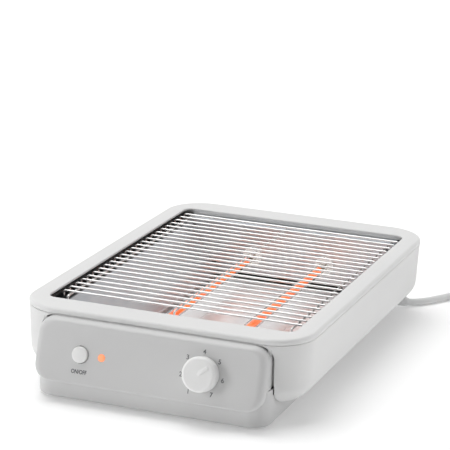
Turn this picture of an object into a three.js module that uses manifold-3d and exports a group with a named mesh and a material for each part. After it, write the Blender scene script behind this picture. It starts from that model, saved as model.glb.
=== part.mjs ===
// Flat-bed electric toaster.  Units are millimetres, +Z is up, the control side faces -Y.
import * as THREE from "three";
import { mergeVertices } from "three/addons/utils/BufferGeometryUtils.js";
import Module from "manifold-3d";

const wasm = await Module();
wasm.setup();

// ------------------------------------------------------------------ driving dimensions
const BODY_WIDTH = 260;
const BODY_DEPTH = 382;
const BODY_TOP = 76;
const BODY_CORNER = 38.5;
const SHIFT_Y = 14.17;           // moves the body so the whole object is centred on the origin

const BEZEL_BASE = 70.9;
const OPENING_X = 112.7;
const OPENING_Y = 162.9;
const OPENING_CORNER = 9;

const SKIRT_TOP = 70.6;
const CURL_LOW = 16.2;
const SKIRT_BOTTOM = 28;
const SKIRT_TAPER = 2.4;
const SKIRT_WALL = 2.4;
const CUTOUT_HALF = 105.2;

const TUB_HALF = 105;
const TUB_FRONT = -205;
const TUB_REAR = 170;
const TUB_FLOOR = 2;
const TUB_RIM = 27.7;
const TUB_WALL = 2.5;
const TUB_CORNER = 18;

const TILT = THREE.MathUtils.degToRad(15.6);
const FACE_Y = -206.0;           // face height 43.4 lies at this depth
const FACE_Z = 43.4;
const FASCIA_HALF = 103.3;
const FASCIA_LOW = 17.3;
const FASCIA_HIGH = 69.9;
const FASCIA_SEAM_Z = 33.3;
const FASCIA_SEAM_Y = -199.6;

const BUTTON_X = -60.8;
const LAMP_X = -41.4;
const KNOB_X = 49.4;
const KNOB_RADIUS = 14.9;
const KNOB_HEIGHT = 11.2;
const BUTTON_RADIUS = 7.3;

const REFLECTOR_TOP = 67.9;
const REFLECTOR_LOW = 21.2;
const REFLECTOR_TOP_X = 108.4;
const REFLECTOR_LOW_X = 72.6;
const END_WALL = 150;
const SHEET = 1;

const TUBE_X = 37;
const TUBE_Z = 38.9;
const TUBE_RADIUS = 4.6;

const WIRE_RADIUS = 1.1;
const WIRE_Z = 72.6;
const WIRE_COUNT = 24;
const WIRE_PITCH = 12.28;
const WIRE_FIRST = -132.0;
const WIRE_BEND_X = 110.7;
const ROD_X = [-103, -3, 103];
const ROD_FRONT = -140.5;
const ROD_REAR = 157.4;

const TRAY_TOP = 14.9;
const TRAY_HALF = 77;
const TRAY_FRONT = -147;

const CORD_RADIUS = 3.5;
const FLOOR_CORD_Z = CORD_RADIUS + 0.1;
const CORD_EXIT = new THREE.Vector3(99.7, 164.7, 11);
const CORD_DIR = new THREE.Vector3(0.68, 0.68, -0.27).normalize();

// ------------------------------------------------------------------ finishes
const WHITE = { color: 0xeceded, roughness: 0.55, metalness: 0 };
const GREY = { color: 0xc9cacb, roughness: 0.6, metalness: 0 };
const KNOB_WHITE = { color: 0xf1f1f0, roughness: 0.45, metalness: 0 };
const MIRROR = { color: 0xd8dadd, roughness: 0.12, metalness: 1 };
const STEEL = { color: 0xb9bcc0, roughness: 0.35, metalness: 1 };
const CHROME = { color: 0xe6e7e8, roughness: 0.15, metalness: 1 };
const QUARTZ = { color: 0xf2e4d8, roughness: 0.08, metalness: 0 };
const HOT = { color: 0xff6a1a, roughness: 0.5, metalness: 0 };
const CERAMIC = { color: 0xf3f0e8, roughness: 0.5, metalness: 0 };
const BRASS = { color: 0xc9a550, roughness: 0.35, metalness: 1 };
const BLACK = { color: 0x1c1c1d, roughness: 0.7, metalness: 0 };
const AMBER = { color: 0xf08a60, roughness: 0.25, metalness: 0 };
const CORD_WHITE = { color: 0xe6e6e4, roughness: 0.5, metalness: 0 };

const parts = new THREE.Group();

// ------------------------------------------------------------------ geometry helpers
function v3(x, y, z) {
  return new THREE.Vector3(x, y, z);
}

function signedVolume(points, faces) {
  let sum = 0;
  for (let i = 0; i < faces.length; i += 3) {
    const a = points[faces[i]];
    const b = points[faces[i + 1]];
    const c = points[faces[i + 2]];
    sum += a.dot(b.clone().cross(c));
  }
  return sum;
}

function solidFrom(points, faces) {
  const order = faces.slice();
  if (signedVolume(points, faces) < 0) order.reverse();
  const geo = new THREE.BufferGeometry();
  const flat = points.flatMap((p) => [p.x, p.y, p.z]);
  geo.setAttribute("position", new THREE.Float32BufferAttribute(flat, 3));
  geo.setIndex(order);
  return geo;
}

// closed body through a list of equal rings; ends are capped unless the list closes on itself
function loft(rings, closed = false) {
  const n = rings[0].length;
  const points = rings.flat();
  const faces = [];
  const last = closed ? rings.length : rings.length - 1;
  for (let k = 0; k < last; k += 1) {
    const a = k * n;
    const b = ((k + 1) % rings.length) * n;
    for (let i = 0; i < n; i += 1) {
      const j = (i + 1) % n;
      faces.push(a + i, a + j, b + j, a + i, b + j, b + i);
    }
  }
  if (!closed) {
    const end = (rings.length - 1) * n;
    for (let i = 1; i < n - 1; i += 1) {
      faces.push(0, i + 1, i);
      faces.push(end, end + i, end + i + 1);
    }
  }
  return solidFrom(points, faces);
}

// rounded rectangle outline about (cx, cy)
function roundedOutline(hx, hy, r, seg = 6, cx = 0, cy = 0) {
  const out = [];
  const corners = [[1, 1, 0], [-1, 1, 90], [-1, -1, 180], [1, -1, 270]];
  for (const [sx, sy, start] of corners) {
    for (let i = 0; i <= seg; i += 1) {
      const a = THREE.MathUtils.degToRad(start + (90 * i) / seg);
      const x = cx + sx * (hx - r) + r * Math.cos(a);
      const y = cy + sy * (hy - r) + r * Math.sin(a);
      out.push([x, y]);
    }
  }
  return out;
}

function levelRing(hx, hy, r, z, seg, cx, cy) {
  return roundedOutline(hx, hy, r, seg, cx, cy).map(([x, y]) => v3(x, y, z));
}

function box(x0, x1, y0, y1, z0, z1) {
  const geo = new THREE.BoxGeometry(x1 - x0, y1 - y0, z1 - z0);
  return geo.translate((x0 + x1) / 2, (y0 + y1) / 2, (z0 + z1) / 2);
}

// polygon in the X-Z plane carried along Y
function alongY(outline, y0, y1) {
  const shape = new THREE.Shape(outline.map(([x, z]) => new THREE.Vector2(x, z)));
  const geo = new THREE.ExtrudeGeometry(shape, { depth: y1 - y0, bevelEnabled: false });
  return geo.rotateX(Math.PI / 2).translate(0, y1, 0);
}

// turned body: profile of [radius, distance along the axis], axis from a point in a direction
function turned(profile, origin, axis, seg = 24) {
  const pts = profile.map(([r, h]) => new THREE.Vector2(r, h));
  const geo = new THREE.LatheGeometry(pts, seg);
  const turn = new THREE.Quaternion().setFromUnitVectors(v3(0, 1, 0), axis.clone().normalize());
  return geo.applyQuaternion(turn).translate(origin.x, origin.y, origin.z);
}

function pin(radius, h0, h1, origin, axis, seg = 24) {
  return turned([[0, h0], [radius, h0], [radius, h1], [0, h1]], origin, axis, seg);
}

function toManifold(geo) {
  const bare = new THREE.BufferGeometry();
  bare.setAttribute("position", geo.getAttribute("position").clone());
  if (geo.index) bare.setIndex(geo.index.clone());
  const merged = mergeVertices(bare, 1e-4);
  const vertProperties = new Float32Array(merged.getAttribute("position").array);
  const index = merged.index.array;
  const keep = [];
  for (let i = 0; i < index.length; i += 3) {
    const [a, b, c] = [index[i], index[i + 1], index[i + 2]];
    if (a !== b && b !== c && a !== c) keep.push(a, b, c);
  }
  const triVerts = new Uint32Array(keep);
  return new wasm.Manifold(new wasm.Mesh({ numProp: 3, vertProperties, triVerts }));
}

function fromManifold(body) {
  const mesh = body.getMesh();
  const geo = new THREE.BufferGeometry();
  geo.setAttribute("position", new THREE.Float32BufferAttribute(mesh.vertProperties, 3));
  geo.setIndex(Array.from(mesh.triVerts));
  return geo;
}

function carve(base, cuts) {
  let body = toManifold(base);
  for (const cut of cuts) body = body.subtract(toManifold(cut));
  return fromManifold(body);
}

function weld(pieces) {
  let body = toManifold(pieces[0]);
  for (const piece of pieces.slice(1)) body = body.add(toManifold(piece));
  return fromManifold(body);
}

function add(name, geo, finish) {
  const clean = geo.clone();
  clean.deleteAttribute("uv");
  clean.deleteAttribute("normal");
  const merged = mergeVertices(clean, 1e-5);
  merged.translate(0, SHIFT_Y, 0);
  merged.computeVertexNormals();
  const mesh = new THREE.Mesh(merged, new THREE.MeshStandardMaterial(finish));
  mesh.name = name;
  parts.add(mesh);
  return mesh;
}

// ------------------------------------------------------------------ control face frame
const FACE_NORMAL = v3(0, -Math.cos(TILT), Math.sin(TILT));
const FACE_DOWN = v3(0, -Math.sin(TILT), -Math.cos(TILT));

function faceDepth(z) {
  return FACE_Y + (z - FACE_Z) * Math.tan(TILT);
}

function onFace(x, out = 0) {
  return v3(x, FACE_Y, FACE_Z).addScaledVector(FACE_NORMAL, out);
}

// outline of the fascia at an inset, pushed back from the face
function fasciaRing(inset, back, flatY = null) {
  const hx = FASCIA_HALF - inset;
  const low = FASCIA_LOW + inset * 0.42;
  const high = FASCIA_HIGH - inset * 0.42;
  const hz = (high - low) / 2;
  const mid = (high + low) / 2;
  const radius = Math.max(14 - inset * 0.35, 4);
  return roundedOutline(hx, hz, radius, 6, 0, mid).map(([x, z]) => {
    const y = flatY === null ? faceDepth(z) + back : flatY;
    return v3(x, y, z);
  });
}

// ------------------------------------------------------------------ top bezel
function ringPath(hx, hy, r, z) {
  return levelRing(hx, hy, r, z, 8, 0, 0);
}

const bezelRings = [
  ringPath(129.7, 190.7, BODY_CORNER, BEZEL_BASE),
  ringPath(130, 191, BODY_CORNER, BEZEL_BASE + 1.6),
  ringPath(128.6, 189.6, BODY_CORNER - 1.4, BODY_TOP - 1.3),
  ringPath(125.6, 186.6, BODY_CORNER - 4, BODY_TOP),
  ringPath(OPENING_X + 0.8, OPENING_Y + 0.8, OPENING_CORNER + 0.8, BODY_TOP),
  ringPath(OPENING_X, OPENING_Y, OPENING_CORNER, BODY_TOP - 0.8),
  ringPath(OPENING_X, OPENING_Y, OPENING_CORNER, BEZEL_BASE),
];
add("top_bezel", loft(bezelRings, true), WHITE);

// ------------------------------------------------------------------ outer skirt
const low = SKIRT_TAPER;
function skirtRing(inset, z) {
  return ringPath(130 - inset, 191 - inset, BODY_CORNER - inset, z);
}

// the wall curls in under itself below z 32; a shelf inside it rests on the rim of the tub
const skirtRings = [
  skirtRing(0.3, SKIRT_TOP), skirtRing(low * 0.96, 32), skirtRing(3, 29), skirtRing(4.6, 25.5),
  skirtRing(7.2, 22), skirtRing(10.6, 19), skirtRing(14.5, 17), skirtRing(18.5, CURL_LOW),
  skirtRing(18.5, CURL_LOW + 2.2), skirtRing(14.6, 19.6), skirtRing(10.8, 22), skirtRing(8.2, 25),
  skirtRing(6.6, SKIRT_BOTTOM - 0.2),
  ringPath(100.5, 165.5, 16, SKIRT_BOTTOM),
  ringPath(100.5, 165.5, 16, SKIRT_BOTTOM + 2.2),
  ringPath(126.4 - low, 187.4 - low, BODY_CORNER - 5, SKIRT_BOTTOM + 2.2),
  ringPath(129.7 - SKIRT_WALL, 190.7 - SKIRT_WALL, BODY_CORNER - 2.4, SKIRT_TOP),
];
const cutRadius = 13;
const cutOutline = [[-96, 90], [-96, SKIRT_TOP - 1.1]];
for (let i = 0; i <= 6; i += 1) {
  const a = THREE.MathUtils.degToRad(90 + 15 * i);
  const x = -(CUTOUT_HALF - cutRadius) + cutRadius * Math.cos(a);
  const z = SKIRT_TOP - 0.7 - cutRadius + cutRadius * Math.sin(a);
  if (x < -96.5) cutOutline.push([x, z]);
}
for (let i = 0; i <= 4; i += 1) {
  const a = THREE.MathUtils.degToRad(22.5 * i);
  cutOutline.push([-(CUTOUT_HALF + 8) + 8 * Math.cos(a), CURL_LOW + 8 - 8 * Math.sin(a)]);
}
cutOutline.push([-(CUTOUT_HALF + 8), 8]);
const mirrored = cutOutline.map(([x, z]) => [-x, z]).reverse();
const frontCut = alongY([...cutOutline, ...mirrored], -215, -172);
const flangeCut = box(-CUTOUT_HALF, CUTOUT_HALF, -180, -150, 8, 36);
// the curl is open at the rear for the tray pull, and at the corner for the cord
const pullNotch = box(-89, 89, 160, 200, 8, 27.6);
const cordNotch = pin(10, -10, 40, CORD_EXIT, CORD_DIR, 24);
add("outer_skirt", carve(loft(skirtRings, true), [frontCut, flangeCut, pullNotch, cordNotch]), WHITE);

// ------------------------------------------------------------------ base tub
const tubMid = (TUB_FRONT + TUB_REAR) / 2;
const tubHalf = (TUB_REAR - TUB_FRONT) / 2;

function tubRing(inset, z, seg = 5) {
  const corner = Math.max(TUB_CORNER - inset, 3);
  return levelRing(TUB_HALF - inset, tubHalf - inset, corner, z, seg, 0, tubMid);
}

const tubOuter = loft([tubRing(1.6, TUB_FLOOR), tubRing(0.3, TUB_FLOOR + 1.2), tubRing(0, 5),
  tubRing(0, 33)]);
const tubInner = loft([tubRing(TUB_WALL, TUB_FLOOR + TUB_WALL), tubRing(TUB_WALL, 40)]);
const strainHole = pin(6.2, -12, 12, CORD_EXIT, CORD_DIR, 20);
const tubCuts = [
  tubInner,
  box(-120, 120, -187.6, 180, TUB_RIM, 40),
  box(-120, 120, -220, -199.3, FASCIA_LOW - 0.3, 40),
  box(-80, 80, TUB_REAR - 6, TUB_REAR + 4, 9.6, 21.4),
  strainHole,
];
for (const side of [-1, 1]) {
  const outer = side * 103.3;
  tubCuts.push(box(Math.min(outer, outer + side * 5), Math.max(outer, outer + side * 5), -210, -187.6,
    FASCIA_LOW - 0.3, 40));
}
const SCREWS = [["base_screw_front_left", -90, -182], ["base_screw_front_right", 90, -182],
  ["base_screw_rear_left", -90, 110], ["base_screw_rear_right", 90, 110]];
for (const [, x, y] of SCREWS) {
  tubCuts.push(pin(2.1, -1, 8, v3(x, y, 0), v3(0, 0, 1), 12));
  tubCuts.push(pin(4.2, -1, 3.2, v3(x, y, 0), v3(0, 0, 1), 16));
}
add("base_tub", carve(tubOuter, tubCuts), GREY);

for (const [name, x, y] of SCREWS) {
  const profile = [[0, 2.1], [3.6, 2.1], [3.6, 2.9], [1.7, 2.9], [1.7, 9], [0, 9]];
  add(name, turned(profile, v3(x, y, 0), v3(0, 0, 1), 12), STEEL);
}

const FEET = [["foot_front_left", -84, -160], ["foot_front_right", 84, -160],
  ["foot_rear_left", -84, 140], ["foot_rear_right", 84, 140]];
for (const [name, x, y] of FEET) {
  const profile = [[0, 0], [7.6, 0], [8.6, 0.5], [9, 1.7], [0, 1.7]];
  add(name, turned(profile, v3(x, y, 0), v3(0, 0, 1), 16), BLACK);
}

// ------------------------------------------------------------------ control fascia
const fasciaOuter = loft([fasciaRing(0, 0, -188), fasciaRing(0.4, 9.5), fasciaRing(2.4, 3.4),
  fasciaRing(4.4, 0.8), fasciaRing(6, 0)]);
const fasciaInner = loft([fasciaRing(2.6, 0, -180), fasciaRing(2.8, 9.5), fasciaRing(5.4, 4.4),
  fasciaRing(7, 3)]);
const fasciaCuts = [
  fasciaInner,
  box(-120, 120, FASCIA_SEAM_Y, -180, 0, FASCIA_SEAM_Z),
  pin(BUTTON_RADIUS + 0.45, -8, 6, onFace(BUTTON_X), FACE_NORMAL, 28),
  pin(3.9, -8, 6, onFace(LAMP_X), FACE_NORMAL, 20),
  pin(3.6, -8, 6, onFace(KNOB_X), FACE_NORMAL, 20),
];
add("control_fascia", carve(fasciaOuter, fasciaCuts), GREY);

// ------------------------------------------------------------------ timer knob and shaft
const knobBase = onFace(KNOB_X, 0.5);
const knobProfile = [[0, 0], [KNOB_RADIUS, 0], [KNOB_RADIUS, KNOB_HEIGHT - 3],
  [KNOB_RADIUS - 0.4, KNOB_HEIGHT - 1.7],
  [KNOB_RADIUS - 1.5, KNOB_HEIGHT - 0.6], [KNOB_RADIUS - 3, KNOB_HEIGHT - 0.3], [0, KNOB_HEIGHT - 0.3]];
const POINTER_TURN = THREE.MathUtils.degToRad(45);
const pointerLevels = [[1.8, 5.1, KNOB_HEIGHT - 1.5], [1.8, 5.1, KNOB_HEIGHT - 0.1],
  [1.5, 4.8, KNOB_HEIGHT + 0.1]];
const pointer = loft(pointerLevels.map(([half, long, z]) => {
  return levelRing(half, long, half - 0.05, z, 4, 0, 5.3);
}));
pointer.rotateZ(-POINTER_TURN);
const faceBasis = new THREE.Matrix4().makeBasis(v3(1, 0, 0), FACE_DOWN.clone().negate(), FACE_NORMAL);
pointer.applyMatrix4(faceBasis).translate(knobBase.x, knobBase.y, knobBase.z);
const knobBody = weld([turned(knobProfile, knobBase, FACE_NORMAL, 32), pointer]);
const shaftBore = pin(3.3, -1, 8.3, knobBase, FACE_NORMAL, 16);
add("timer_knob", carve(fromManifold(toManifold(knobBody)), [shaftBore]), KNOB_WHITE);
add("timer_shaft", pin(3, -13.7, 8, knobBase, FACE_NORMAL, 16), STEEL);

const timerProfile = [[0, -34], [17, -34], [18, -33], [18, -15.4], [7, -15.4], [7, -14.2], [0, -14.2]];
add("timer_body", turned(timerProfile, knobBase, FACE_NORMAL, 28), BLACK);

// ------------------------------------------------------------------ power button, switch, pilot lamp
const buttonProfile = [[0, -6], [BUTTON_RADIUS, -6], [BUTTON_RADIUS, 1.8], [BUTTON_RADIUS - 0.6, 2.4],
  [0, 2.6]];
add("power_button", turned(buttonProfile, onFace(BUTTON_X), FACE_NORMAL, 28), KNOB_WHITE);

function faceBlock(x, hx, hy, d0, d1) {
  const geo = new THREE.BoxGeometry(hx * 2, hy * 2, d1 - d0).translate(0, 0, (d0 + d1) / 2);
  const at = onFace(x);
  return geo.applyMatrix4(faceBasis).translate(at.x, at.y, at.z);
}

add("switch_body", faceBlock(BUTTON_X, 8, 12, -28, -8.6), BLACK);
const lensProfile = [[0, -4], [3.5, -4], [3.5, 0.1], [2.9, 0.7], [0, 0.9]];
add("pilot_lens", turned(lensProfile, onFace(LAMP_X), FACE_NORMAL, 18), AMBER);
add("pilot_lamp", turned([[0, -20], [3.2, -20], [3.2, -6], [2.2, -4.4], [0, -4.4]], onFace(LAMP_X),
  FACE_NORMAL, 14), QUARTZ);

// ------------------------------------------------------------------ reflector pan
function mirrorX(outline) {
  return outline.map(([x, z]) => [-x, z]).reverse();
}

const sideSheet = [[REFLECTOR_TOP_X, REFLECTOR_TOP], [REFLECTOR_LOW_X, REFLECTOR_LOW],
  [REFLECTOR_LOW_X, 20], [REFLECTOR_LOW_X + SHEET, 20], [REFLECTOR_LOW_X + SHEET, REFLECTOR_LOW - 0.4],
  [REFLECTOR_TOP_X + 0.8, REFLECTOR_TOP - 0.6]];
add("reflector_right", alongY(sideSheet, -END_WALL + 0.3, END_WALL - 0.3), MIRROR);
add("reflector_left", alongY(mirrorX(sideSheet), -END_WALL + 0.3, END_WALL - 0.3), MIRROR);

const FLANGE_TOP = 69.3;
const endOutline = [[-108.6, FLANGE_TOP], [-108.6, 67.4], [-74.4, 20.6], [-71.8, 19.6], [-71.8, 15.8],
  [-54, 15.8], [-54, 18.8], [54, 18.8], [54, 15.8], [71.8, 15.8], [71.8, 19.6], [74.4, 20.6], [108.6, 67.4],
  [108.6, FLANGE_TOP]];

function endWall(side) {
  const inner = side * END_WALL;
  const outer = side * (END_WALL + SHEET);
  const wall = alongY(endOutline, Math.min(inner, outer), Math.max(inner, outer));
  const lip = side * (OPENING_Y + 8);
  const step = side * (END_WALL + 9);
  const flange = box(-108.6, 108.6, Math.min(inner, step), Math.max(inner, step), FLANGE_TOP - SHEET,
    FLANGE_TOP);
  const rise = step - side * 1;
  const seat = box(-108.6, 108.6, Math.min(rise, lip), Math.max(rise, lip), FLANGE_TOP - 0.5, 70.6);
  const holes = [-TUBE_X, TUBE_X].map((x) => pin(6.8, -6, 6, v3(x, inner, TUBE_Z), v3(0, 1, 0), 16));
  const slots = [];
  for (const s of [-1, 1]) {
    for (const [x, z] of [[99.4, 63.2], [76.6, 28.4]]) {
      slots.push(box(s * x - 1.4, s * x + 1.4, inner - 4, inner + 4, z - 2.2, z + 2.2));
    }
  }
  return carve(weld([wall, flange, seat]), [...holes, ...slots]);
}

add("reflector_rear", endWall(1), MIRROR);
add("reflector_front", endWall(-1), MIRROR);

// ------------------------------------------------------------------ heating tubes
for (const [label, x] of [["left", -TUBE_X], ["right", TUBE_X]]) {
  const axis = v3(0, 1, 0);
  const centre = v3(x, 0, TUBE_Z);
  const glass = [[TUBE_RADIUS, -155.5], [TUBE_RADIUS, 155.5], [3.7, 155.5], [3.7, -155.5],
    [TUBE_RADIUS, -155.5]];
  add(`quartz_tube_${label}`, turned(glass, centre, axis, 16), QUARTZ);
  const coil = [[0, -161], [0.9, -161], [0.9, -134], [2.7, -132], [2.7, 132], [0.9, 134], [0.9, 161],
    [0, 161]];
  add(`heating_coil_${label}`, turned(coil, centre, axis, 12), HOT);
  for (const [end, side] of [["front", -1], ["rear", 1]]) {
    const cap = [[4.9, 147.2], [9.2, 147.2], [9.2, 149.7], [6.5, 149.7], [6.5, 158], [1.2, 158],
      [1.2, 155.8], [4.9, 155.8], [4.9, 147.2]];
    add(`ceramic_cap_${end}_${label}`, turned(cap, centre, v3(0, side, 0), 16), CERAMIC);
  }
  const tab = carve(box(x - 3.2, x + 3.2, -159.3, -158.3, 34, 50),
    [pin(1.2, -8, 8, v3(x, -159, TUBE_Z), axis, 12)]);
  add(`terminal_tab_${label}`, tab, BRASS);
}
const busBar = carve(box(-42, 42, 158.3, 159.3, 34.4, 43.4),
  [-TUBE_X, TUBE_X].map((x) => pin(1.2, -8, 8, v3(x, 159, TUBE_Z), v3(0, 1, 0), 12)));
add("bus_bar_rear", busBar, BRASS);

// ------------------------------------------------------------------ toast grill
function bentWire(points, side, radius, sides) {
  const rings = [];
  for (let i = 0; i < points.length; i += 1) {
    const before = points[Math.max(i - 1, 0)];
    const after = points[Math.min(i + 1, points.length - 1)];
    const axis = after.clone().sub(before).normalize();
    const other = axis.clone().cross(side).normalize();
    const inner = i > 0 && i < points.length - 1;
    const grow = inner ? 1 / Math.cos(points[i].clone().sub(before).angleTo(axis)) : 1;
    const ring = [];
    for (let k = 0; k < sides; k += 1) {
      const a = (2 * Math.PI * (k + 0.5)) / sides;
      const p = points[i].clone();
      p.addScaledVector(side, radius * Math.cos(a));
      p.addScaledVector(other, radius * grow * Math.sin(a));
      ring.push(p);
    }
    rings.push(ring);
  }
  return loft(rings);
}

const WIRE_LOW = 65;
const wires = [];
for (let i = 0; i < WIRE_COUNT; i += 1) {
  const y = WIRE_FIRST + i * WIRE_PITCH;
  const path = [v3(-WIRE_BEND_X, y, WIRE_LOW), v3(-WIRE_BEND_X, y, WIRE_Z - 2),
    v3(-WIRE_BEND_X + 2, y, WIRE_Z), v3(WIRE_BEND_X - 2, y, WIRE_Z), v3(WIRE_BEND_X, y, WIRE_Z - 2),
    v3(WIRE_BEND_X, y, WIRE_LOW)];
  wires.push(bentWire(path, v3(0, 1, 0), WIRE_RADIUS, 6));
}
const rodZ = WIRE_Z - 1.85;
const rods = ROD_X.map((x) => bentWire([v3(x, ROD_FRONT, 64), v3(x, ROD_FRONT, rodZ - 2),
  v3(x, ROD_FRONT + 2, rodZ), v3(x, ROD_REAR, rodZ)], v3(1, 0, 0), WIRE_RADIUS, 6));
add("toast_grill", weld([...wires, ...rods]), CHROME);

const railOutline = [[118.2, 70.6], [118.2, 63.6], [109.2, 63.6], [109.2, 64.6], [117.2, 64.6],
  [117.2, 69.6], [113.4, 69.6], [113.4, 70.6]];
add("grill_rail_right", alongY(railOutline, -146, 156), WHITE);
add("grill_rail_left", alongY(mirrorX(railOutline), -146, 156), WHITE);

// ------------------------------------------------------------------ crumb tray and its supports
const trayFloor = box(-TRAY_HALF, TRAY_HALF, TRAY_FRONT, TUB_REAR, TRAY_TOP - 0.8, TRAY_TOP);
const trayPieces = [trayFloor,
  box(-TRAY_HALF, -TRAY_HALF + 0.8, TRAY_FRONT, TUB_REAR, TRAY_TOP - 0.8, 19.4),
  box(TRAY_HALF - 0.8, TRAY_HALF, TRAY_FRONT, TUB_REAR, TRAY_TOP - 0.8, 19.4),
  box(-52, 52, TRAY_FRONT, TRAY_FRONT + 0.8, TRAY_TOP - 0.8, 18.2),
  box(-TRAY_HALF, TRAY_HALF, TUB_REAR - 0.8, TUB_REAR, TRAY_TOP - 0.8, 19.4)];
for (const x of [-38, 6, 44]) {
  trayPieces.push(box(x - 0.6, x + 0.6, -130, 140, TRAY_TOP - 0.2, TRAY_TOP + 0.35));
}
add("crumb_tray", weld(trayPieces), MIRROR);
const pullOutline = (inset) => roundedOutline(84 - inset, 8 - inset, 4, 4, 0, 15);
const pullRing = (inset, y) => pullOutline(inset).map(([x, z]) => v3(x, y, z));
add("tray_pull", carve(loft([pullRing(0, TUB_REAR + 0.3), pullRing(0, TUB_REAR + 4.4),
  pullRing(1.4, TUB_REAR + 6)]), [box(-22, 22, TUB_REAR + 2.2, TUB_REAR + 9, 4, 11.5)]), GREY);

const runner = [[86, 4.8], [86, 5.8], [79.2, 5.8], [79.2, 19], [78.2, 19], [78.2, 13.8], [70, 13.8],
  [70, 12.8], [78.2, 12.8], [78.2, 4.8]];
add("tray_runner_right", alongY(runner, -146, 163), STEEL);
add("tray_runner_left", alongY(mirrorX(runner), -146, 163), STEEL);
const shield = [[-76, 8.8], [-76, 8], [-61, 8], [-61, 4.8], [-60, 4.8], [-60, 8], [60, 8], [60, 4.8],
  [61, 4.8], [61, 8], [76, 8], [76, 8.8]];
add("heat_shield", alongY(shield, -144, 160), STEEL);
add("terminal_block", carve(box(88.5, 100.5, 118, 146, 4.8, 19.5),
  [box(86, 97, 121, 130.5, 10, 16), box(86, 97, 133.5, 143, 10, 16)]), CERAMIC);

// ------------------------------------------------------------------ mains cord
const sleeve = [[3.8, -9], [7.6, -9], [7.6, -6.8], [5.9, -6.8], [5.9, 2.2], [7.2, 2.2], [7.2, 4.4],
  [5.6, 6], [4.4, 22], [3.8, 22], [3.8, -9]];
add("strain_relief", turned(sleeve, CORD_EXIT, CORD_DIR, 16), CORD_WHITE);

function cordTube(points, steps) {
  const path = new THREE.CatmullRomCurve3(points, false, "centripetal");
  const section = new THREE.Shape();
  section.absarc(0, 0, CORD_RADIUS, 0, Math.PI * 2, false);
  const settings = { steps, bevelEnabled: false, extrudePath: path, curveSegments: 5 };
  return new THREE.ExtrudeGeometry(section, settings);
}

const COIL_CENTRE = v3(202, 253.83, 0);
const COIL_OUTER = 45.9;
const COIL_INNER = 31.2;
const COIL_HIGH = 14.4;
const runOut = [CORD_EXIT.clone().addScaledVector(CORD_DIR, -13), CORD_EXIT.clone(),
  CORD_EXIT.clone().addScaledVector(CORD_DIR, 12), CORD_EXIT.clone().addScaledVector(CORD_DIR, 23),
  v3(124.5, 189.5, FLOOR_CORD_Z + 0.15), v3(136, 204.9, FLOOR_CORD_Z), v3(146, 220.8, FLOOR_CORD_Z),
  v3(152.8, 233.8, FLOOR_CORD_Z)];
add("power_cord", cordTube(runOut, 18), CORD_WHITE);
const coilProfile = [[COIL_INNER, 0.1], [COIL_OUTER, 0.1], [COIL_OUTER, COIL_HIGH], [COIL_INNER, COIL_HIGH],
  [COIL_INNER, 0.1]];
add("cord_coil", turned(coilProfile, COIL_CENTRE, v3(0, 0, 1), 28), CORD_WHITE);
const PLUG_AT = v3(246, 208.9, 9);
const tail = [v3(244.8, 226.8, 9.6), v3(245.4, 219, 9.2), v3(246, 209.3, PLUG_AT.z)];
add("cord_tail", cordTube(tail, 3), CORD_WHITE);

// flat two-pin mains plug
const PLUG_DIR = v3(0, -1, 0);
const PLUG_SIDE = v3(-1, 0, 0);
const plugSections = [[0, 5.2, 5], [9, 6, 5.6], [20, 11, 7.4], [30, 17, 8.6], [42, 17.4, 8.6]];
const plugRings = plugSections.map(([along, wide, high]) => {
  const outline = roundedOutline(wide, high, Math.min(wide, high) * 0.75, 3);
  return outline.map(([u, w]) => PLUG_AT.clone().addScaledVector(PLUG_DIR, along)
    .addScaledVector(PLUG_SIDE, u).add(v3(0, 0, w)));
});
add("plug_body", loft(plugRings), CORD_WHITE);
for (const [label, side] of [["left", -1], ["right", 1]]) {
  const root = PLUG_AT.clone().addScaledVector(PLUG_SIDE, side * 9.3);
  const profile = [[0, 42.3], [2.4, 42.3], [2.4, 60], [1.6, 61.3], [0, 61.3]];
  add(`plug_pin_${label}`, turned(profile, root, PLUG_DIR, 12), BRASS);
}

export default parts;
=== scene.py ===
import math

import bmesh
import bpy
from mathutils import Matrix, Vector


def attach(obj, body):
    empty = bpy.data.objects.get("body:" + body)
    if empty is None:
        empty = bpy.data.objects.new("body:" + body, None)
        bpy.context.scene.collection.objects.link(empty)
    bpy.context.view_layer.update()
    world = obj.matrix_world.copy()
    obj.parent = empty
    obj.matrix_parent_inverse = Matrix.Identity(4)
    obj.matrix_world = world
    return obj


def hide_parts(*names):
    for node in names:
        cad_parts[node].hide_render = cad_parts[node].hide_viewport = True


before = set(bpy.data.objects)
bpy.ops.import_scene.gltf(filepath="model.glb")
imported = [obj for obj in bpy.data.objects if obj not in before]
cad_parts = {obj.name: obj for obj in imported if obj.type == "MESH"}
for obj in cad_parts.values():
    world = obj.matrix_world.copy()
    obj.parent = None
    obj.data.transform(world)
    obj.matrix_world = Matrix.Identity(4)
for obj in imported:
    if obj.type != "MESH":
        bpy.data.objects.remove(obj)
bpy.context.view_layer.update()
scene = bpy.context.scene

MM = 0.001
SHIFT_Y = 14.17     # the shell is drawn about its own middle, then moved to the object's frame


def at(x, y, z):
    """A point of the shell's own frame, in millimetres, as a point of the object's frame in metres."""
    return Vector((x * MM, (y + SHIFT_Y) * MM, z * MM))


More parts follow.
